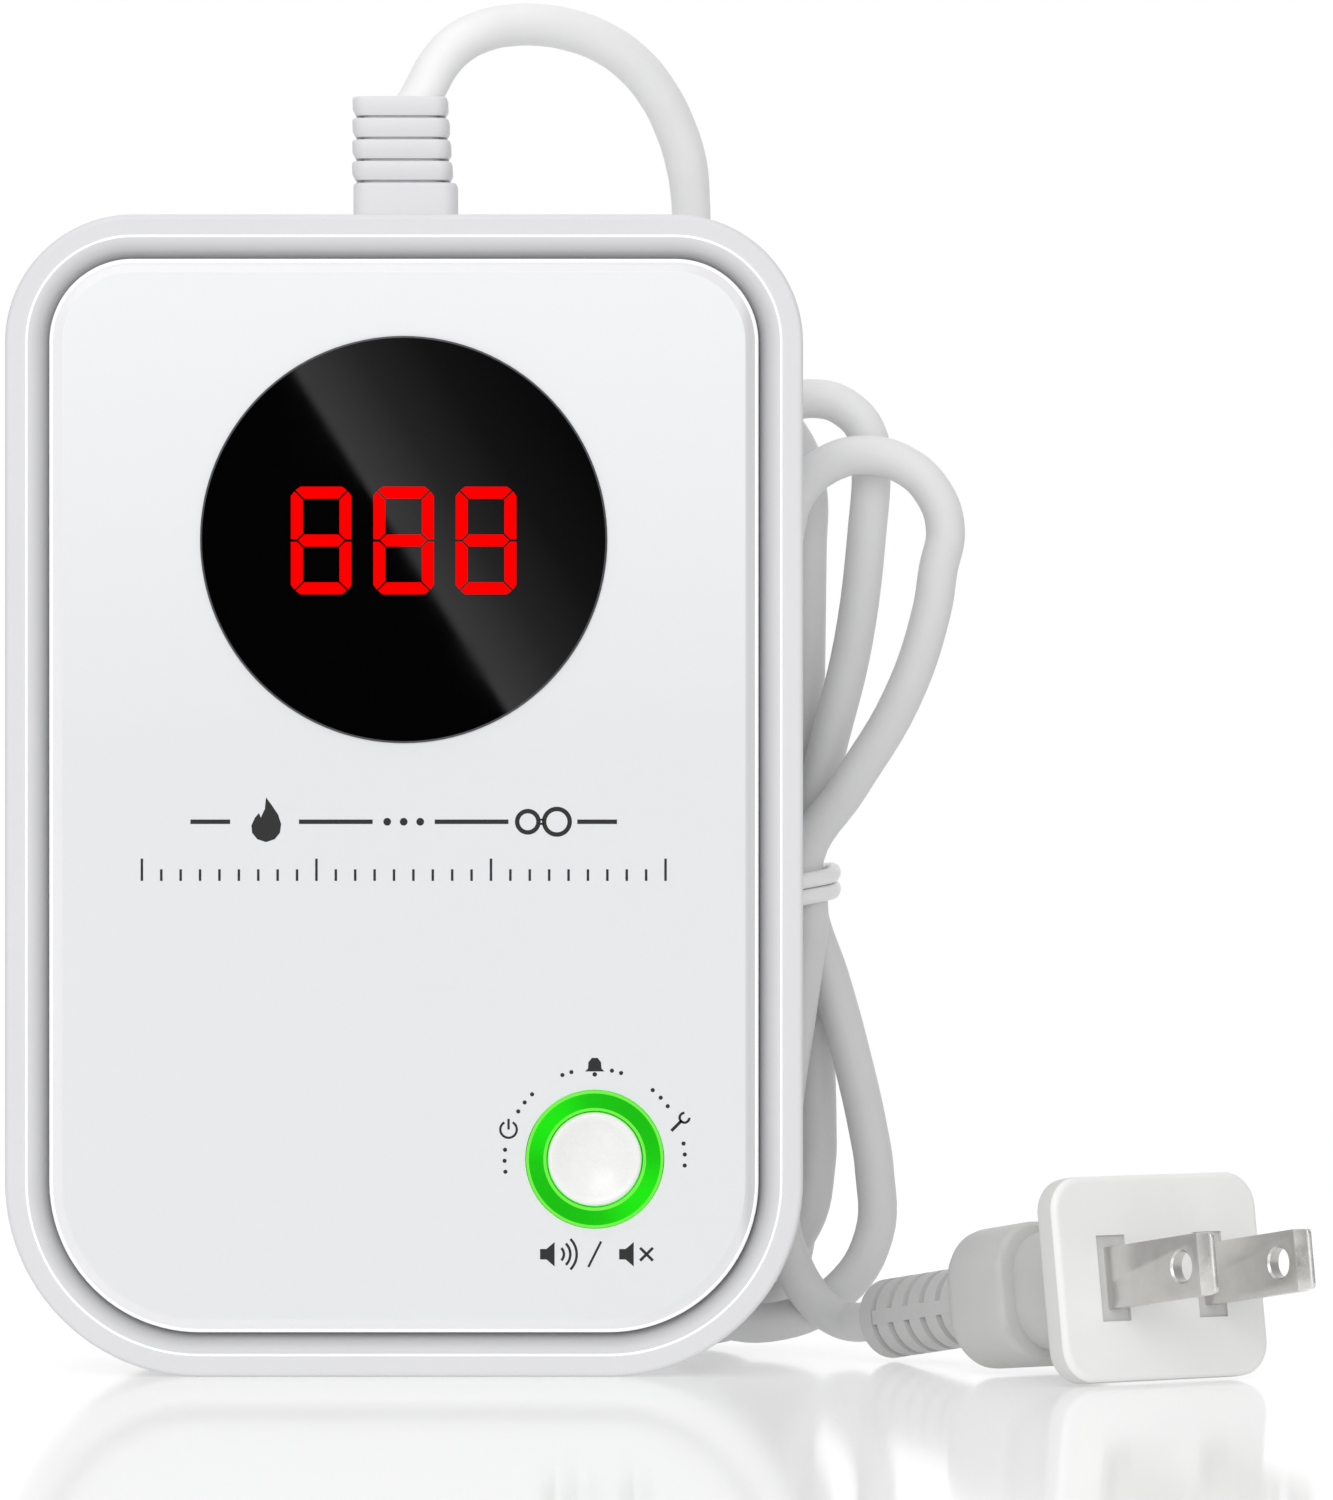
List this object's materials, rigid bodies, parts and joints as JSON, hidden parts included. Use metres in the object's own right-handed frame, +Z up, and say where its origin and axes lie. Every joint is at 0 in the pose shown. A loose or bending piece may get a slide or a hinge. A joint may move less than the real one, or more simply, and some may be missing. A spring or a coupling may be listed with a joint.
{
  "type": "gas and carbon monoxide detector",
  "caption": "Upright white gas and carbon monoxide detector with a round display window, a lit ring round a test button, and a tied mains cord with a flat-bladed plug.",
  "frame": {"origin": "under the middle of the case, on the surface it stands on", "axes": "+Z up the case, -Y out of its face, +X to the right seen from the front, towards the plug"},
  "size_m": [0.1345, 0.087, 0.1441],
  "materials": {
    "white_abs": "moulded ABS, satin",
    "grey_abs": "moulded ABS, fine texture",
    "panel_abs": "moulded ABS, satin",
    "smoked_acrylic": "polished smoked acrylic",
    "foam_tape": "double-sided foam tape",
    "black_plastic": "moulded black plastic",
    "green_acrylic": "lit green light guide",
    "clear_epoxy": "clear epoxy or glass",
    "board_laminate": "green solder mask on glass laminate",
    "screw_steel": "zinc-plated steel",
    "ferrite": "pressed ferrite",
    "yellow_tape": "polyester winding tape",
    "blue_epoxy": "dipped epoxy",
    "can_aluminium": "drawn can",
    "mesh_steel": "woven steel mesh cap",
    "brown_lead": "insulated lead",
    "blue_lead": "insulated lead",
    "relief_pvc": "moulded PVC",
    "cord_pvc": "extruded PVC sheath, satin",
    "tie_pvc": "smooth PVC tie",
    "plug_pvc": "moulded PVC, satin",
    "nickel": "nickel-plated brass",
    "lit_segments": "lit red segments",
    "print_ink": "printed black ink"
  },
  "bodies": {
    "detector": {"front_cover": "white_abs", "rear_cover": "grey_abs", "face_panel": "panel_abs", "display_lens": "smoked_acrylic", "lens_adhesive_ring": "foam_tape", "display_package": "black_plastic", "light_guide_ring": "green_acrylic", "switch_body": "black_plastic", "status_light_green": "clear_epoxy", "status_light_red": "clear_epoxy", "status_light_yellow": "clear_epoxy", "main_board": "board_laminate", "board_screw_1": "screw_steel", "board_screw_2": "screw_steel", "board_screw_3": "screw_steel", "board_screw_4": "screw_steel", "case_screw_1": "screw_steel", "case_screw_2": "screw_steel", "case_screw_3": "screw_steel", "case_screw_4": "screw_steel", "transformer_core": "ferrite", "transformer_winding": "yellow_tape", "mains_connector": "grey_abs", "fuse": "clear_epoxy", "surge_absorber": "blue_epoxy", "bulk_capacitor": "can_aluminium", "output_capacitor": "can_aluminium", "co_sensor_can": "can_aluminium", "gas_sensor_base": "black_plastic", "gas_sensor_mesh_cap": "mesh_steel", "buzzer_case": "black_plastic", "controller_chip": "black_plastic", "lead_live": "brown_lead", "lead_neutral": "blue_lead", "inlet_strain_relief": "relief_pvc", "cord_arch": "cord_pvc", "cord_hank": "cord_pvc", "hank_tie": "tie_pvc", "cord_tail": "cord_pvc", "plug_body": "plug_pvc", "plug_face_plate": "plug_pvc", "plug_blade_left": "nickel", "plug_blade_right": "nickel"},
    "test_button": {"test_button_cap": "white_abs", "switch_plunger": "black_plastic"}
  },
  "joints": [
    {"name": "test_button_press", "type": "slide", "parent": "detector", "child": "test_button", "axis": [0, 1, 0], "range_m": [0, 0.0006], "stiffness_N_per_m": 2500}
  ]
}
